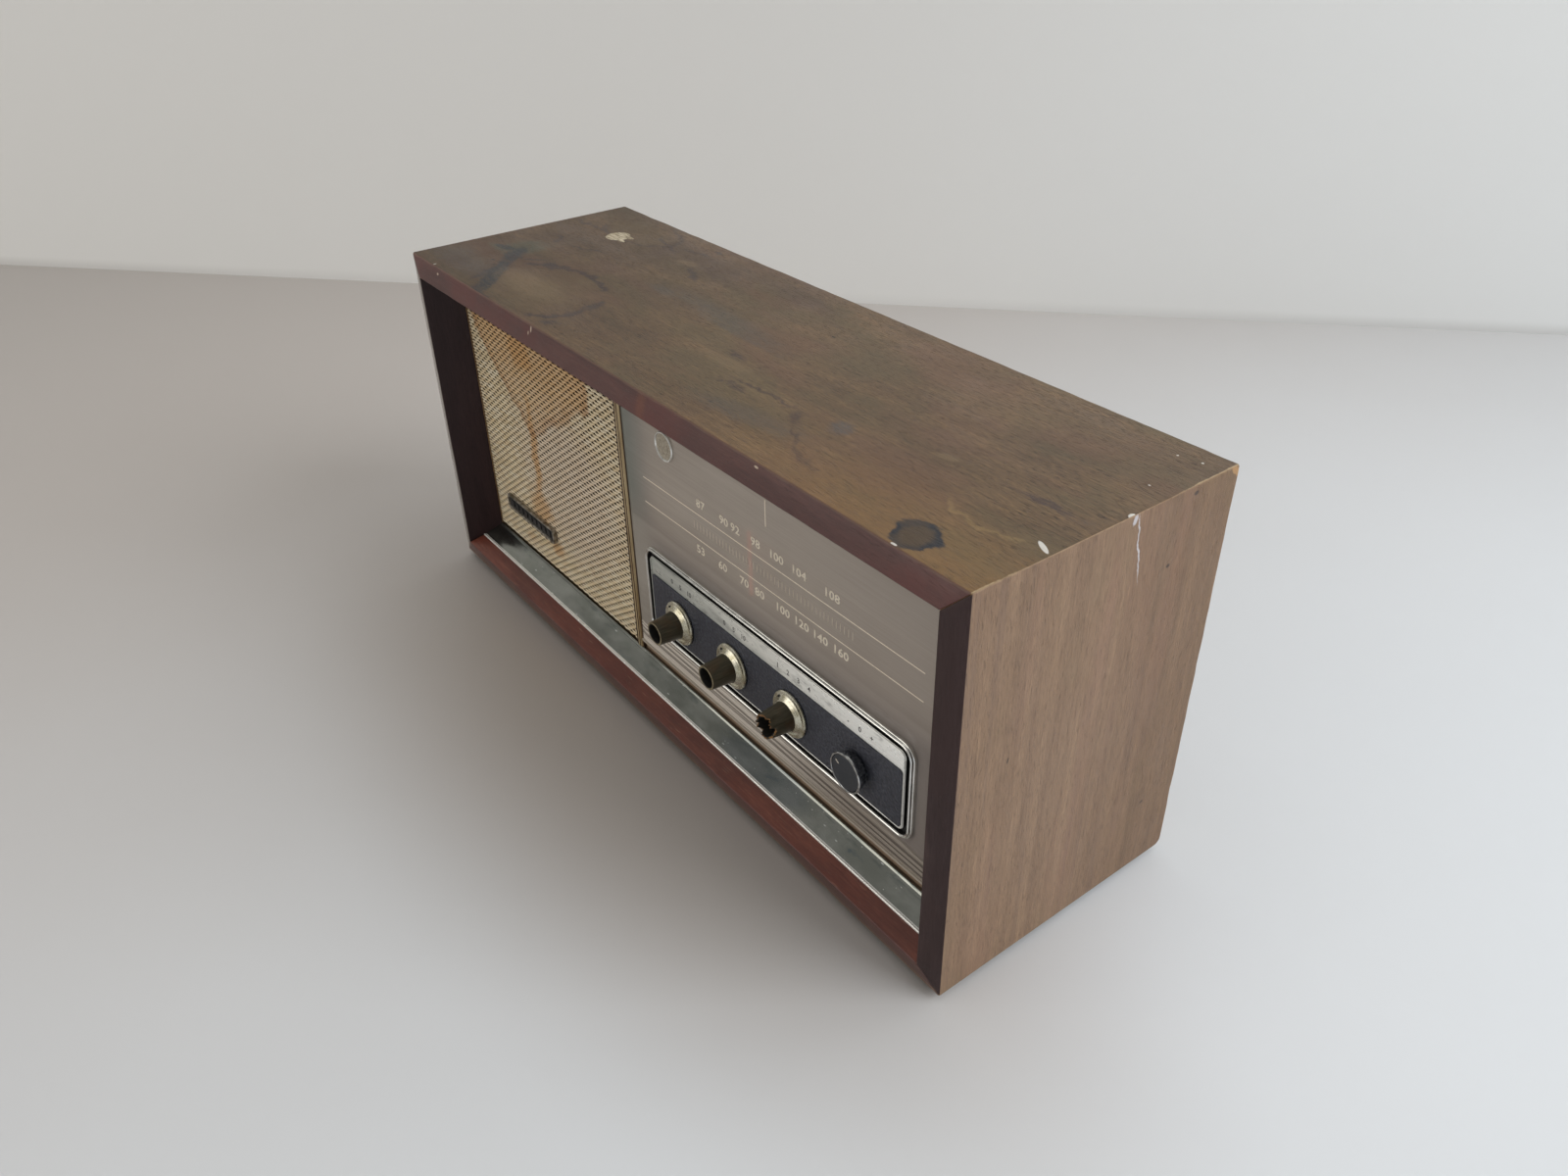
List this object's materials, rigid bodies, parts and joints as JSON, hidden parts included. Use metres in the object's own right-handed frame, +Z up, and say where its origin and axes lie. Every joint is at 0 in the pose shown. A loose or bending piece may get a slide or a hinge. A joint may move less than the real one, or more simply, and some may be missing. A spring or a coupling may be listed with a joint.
{
  "type": "transistor radio",
  "caption": "Table radio in a mitred walnut case with a cloth speaker side, a printed dial panel with a sliding pointer, a chrome ledge and turning controls.",
  "frame": {"origin": "centre of the bounding box's base, on the surface under the feet", "axes": "+X along the width, towards the tuning end seen from the front's right; -Y is the front; +Z up"},
  "size_m": [0.38, 0.121, 0.1705],
  "materials": {
    "walnut": "oiled walnut veneer, edges stained mahogany",
    "raw_wood": "bare softwood",
    "foot_rubber": "matt",
    "bright_chrome": "polished, pitted",
    "baffle_board": "hardboard, stained dark",
    "grille_fabric": "woven, cream and dark threads",
    "badge_metal": "bright rim, dark sunk field",
    "gold_plastic": "gold and brown stripes",
    "dial_plastic": "brushed warm grey, printed on the back",
    "crest_metal": "bright",
    "satin_plate": "brushed",
    "leatherette": "pebbled",
    "smoked_plastic": "cloudy olive brown",
    "pale_nickel": "nickel worn to brass",
    "shaft_steel": "turned",
    "black_plastic": "satin",
    "zinc_plate": "dull zinc",
    "phenolic": "brown laminate",
    "turned_brass": "turned",
    "can_aluminium": "drawn",
    "blue_sleeve": "shrunk sleeve",
    "black_metal": "black",
    "white_plastic": "satin",
    "cord_fibre": "waxed",
    "pointer_red": "enamel",
    "lamp_glass": "clear",
    "ferrite": "sintered",
    "winding": "taped coil",
    "cone_paper": "pressed",
    "cover_board": "perforated hardboard",
    "grommet_rubber": "matt"
  },
  "bodies": {
    "case": {"cabinet_top": "walnut", "cabinet_bottom": "walnut", "cabinet_left": "walnut", "cabinet_right": "walnut", "corner_battens": "raw_wood", "feet": "foot_rubber", "chrome_ledge": "bright_chrome", "front_baffle": "baffle_board", "grille_cloth": "grille_fabric", "grille_badge": "badge_metal", "divider_strip": "gold_plastic", "dial_panel": "dial_plastic", "crest_disc": "crest_metal", "bezel_ring": "bright_chrome", "control_plate": "satin_plate", "leather_inlay": "leatherette", "volume_pot": "zinc_plate", "tone_pot": "zinc_plate", "selector_switch": "phenolic", "tuning_bushing": "turned_brass", "control_nuts": "shaft_steel", "chassis": "zinc_plate", "fixing_screws": "shaft_steel", "circuit_board": "phenolic", "if_cans": "can_aluminium", "electrolytic_capacitors": "blue_sleeve", "transistors": "can_aluminium", "heat_sink": "black_metal", "tuning_gang": "white_plastic", "cord_guides": "white_plastic", "dial_cord": "cord_fibre", "pointer_rail": "shaft_steel", "dial_lamp": "lamp_glass", "lamp_holder": "zinc_plate", "ferrite_rod": "ferrite", "rod_holders": "white_plastic", "transformer_core": "black_metal", "transformer_coil": "winding", "speaker_frame": "zinc_plate", "speaker_cone": "cone_paper", "speaker_magnet": "ferrite", "rear_cover": "cover_board", "terminal_strip": "phenolic", "terminal_screws": "shaft_steel", "cord_grommet": "grommet_rubber"},
    "volume_control": {"volume_stub": "smoked_plastic", "volume_flange": "pale_nickel", "volume_shaft": "shaft_steel"},
    "tone_control": {"tone_stub": "smoked_plastic", "tone_flange": "pale_nickel", "tone_shaft": "shaft_steel"},
    "selector_control": {"selector_stub": "smoked_plastic", "selector_flange": "pale_nickel", "selector_shaft": "shaft_steel"},
    "tuning_control": {"tuning_cap": "black_plastic", "tuning_knob": "bright_chrome", "tuning_shaft": "shaft_steel"},
    "drum": {"dial_drum": "white_plastic"},
    "pointer": {"dial_pointer": "pointer_red"}
  },
  "joints": [
    {"name": "volume_turn", "type": "hinge", "parent": "case", "child": "volume_control", "pos_m": [0.0132, -0.04, 0.0582], "axis": [0, 1, 0], "range_deg": [0, 300]},
    {"name": "tone_turn", "type": "hinge", "parent": "case", "child": "tone_control", "pos_m": [0.0517, -0.04, 0.0582], "axis": [0, 1, 0], "range_deg": [-150, 150]},
    {"name": "selector_turn", "type": "hinge", "parent": "case", "child": "selector_control", "pos_m": [0.0902, -0.04, 0.0582], "axis": [0, 1, 0], "range_deg": [-30, 30]},
    {"name": "tuning_turn", "type": "hinge", "parent": "case", "child": "tuning_control", "pos_m": [0.1287, -0.04, 0.0582], "axis": [0, 1, 0], "range_deg": [-645.5, 1201.3]},
    {"name": "drum_turn", "type": "hinge", "parent": "case", "child": "drum", "pos_m": [0.07095, -0.035, 0.095], "axis": [0, 1, 0], "range_deg": [-62.93, 117.1]},
    {"name": "pointer_slide", "type": "slide", "parent": "case", "child": "pointer", "axis": [1, 0, 0], "range_m": [-0.0338, 0.0629]}
  ],
  "couplings": [
    {"joint": "pointer_slide", "follows": "tuning_turn", "m_per_rad": 0.003},
    {"joint": "drum_turn", "follows": "tuning_turn", "ratio": 0.097464}
  ]
}
